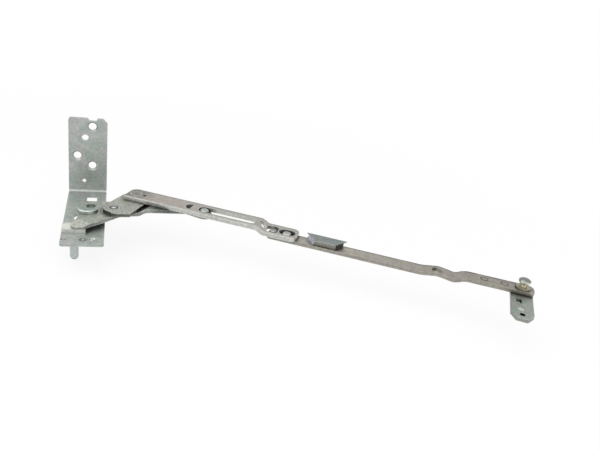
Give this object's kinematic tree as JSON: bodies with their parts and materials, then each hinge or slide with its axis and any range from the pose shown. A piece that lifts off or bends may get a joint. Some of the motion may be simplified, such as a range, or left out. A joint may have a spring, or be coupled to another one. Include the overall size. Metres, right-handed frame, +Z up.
{
  "type": "window scissor stay",
  "caption": "Scissor stay for a tilt and turn sash: corner bracket with locating pin, open lever scissor, slotted link and long bar with stud and hanging tab.",
  "frame": {"origin": "on the locating pin's axis, at the underside of the bracket's base plate", "axes": "+X across the bracket towards the arm's end, +Y from the pin to the leg, +Z up the leg; the pin points down -Z"},
  "size_m": [0.2776, 0.1801, 0.0732],
  "materials": {
    "bracket_zinc": "zinc plated sheet, satin",
    "lever_zinc": "zinc plated sheet, satin, faint olive tint",
    "arm_zinc": "zinc plated sheet, satin, warm tint",
    "rivet_steel": "zinc plated steel, turned",
    "block_zinc": "grey die casting, satin",
    "washer_yellow": "yellow passivated steel"
  },
  "bodies": {
    "base": {"corner_bracket": "bracket_zinc", "locating_pin": "rivet_steel", "pin_pad": "bracket_zinc", "pivot_spacer": "rivet_steel"},
    "adjuster": {"pivot_eccentric": "rivet_steel"},
    "lower_lever": {"lower_lever": "lever_zinc", "scissor_rivet": "rivet_steel"},
    "upper_lever": {"upper_lever": "lever_zinc", "arm_pivot_rivet": "rivet_steel"},
    "arm": {"slotted_arm": "arm_zinc", "link_clamp_rivet": "rivet_steel", "link_joint_rivet": "rivet_steel", "long_bar": "arm_zinc", "guide_block": "block_zinc", "bar_rivet_inner": "rivet_steel", "bar_rivet_outer": "rivet_steel", "stud_washer": "washer_yellow", "mushroom_stud": "rivet_steel"},
    "slide_pin": {"arm_slide_pin": "rivet_steel"},
    "tab": {"end_tab": "bracket_zinc"}
  },
  "joints": [
    {"name": "pressure_adjust", "type": "hinge", "parent": "base", "child": "adjuster", "pos_m": [0.0089, 0.0198, 0.002], "axis": [0, 0, 1], "range_deg": [-20, 20]},
    {"name": "turn", "type": "hinge", "parent": "adjuster", "child": "lower_lever", "pos_m": [0.007, 0.0178, 0.0057], "axis": [0, 0, 1], "range_deg": [-70, 20]},
    {"name": "scissor", "type": "hinge", "parent": "lower_lever", "child": "upper_lever", "pos_m": [0.023, 0.01808, 0.0082], "axis": [0, 0, 1], "range_deg": [0, 67]},
    {"name": "arm_fold", "type": "hinge", "parent": "upper_lever", "child": "arm", "pos_m": [0.03747, 0.03647, 0.0107], "axis": [0, 0, 1], "range_deg": [-59.5, 0.5]},
    {"name": "pin_slide", "type": "slide", "parent": "arm", "child": "slide_pin", "axis": [0.8788, -0.4772, 0], "range_m": [-0.0005, 0.025]},
    {"name": "tab_swing", "type": "hinge", "parent": "arm", "child": "tab", "pos_m": [0.26332, -0.08616, 0.0058], "axis": [0, 0, 1], "range_deg": [-60, 90]}
  ],
  "couplings": [
    {"joint": "arm_fold", "follows": "scissor", "ratio": -0.87844},
    {"joint": "pin_slide", "follows": "scissor", "m_per_rad": 0.020845}
  ]
}
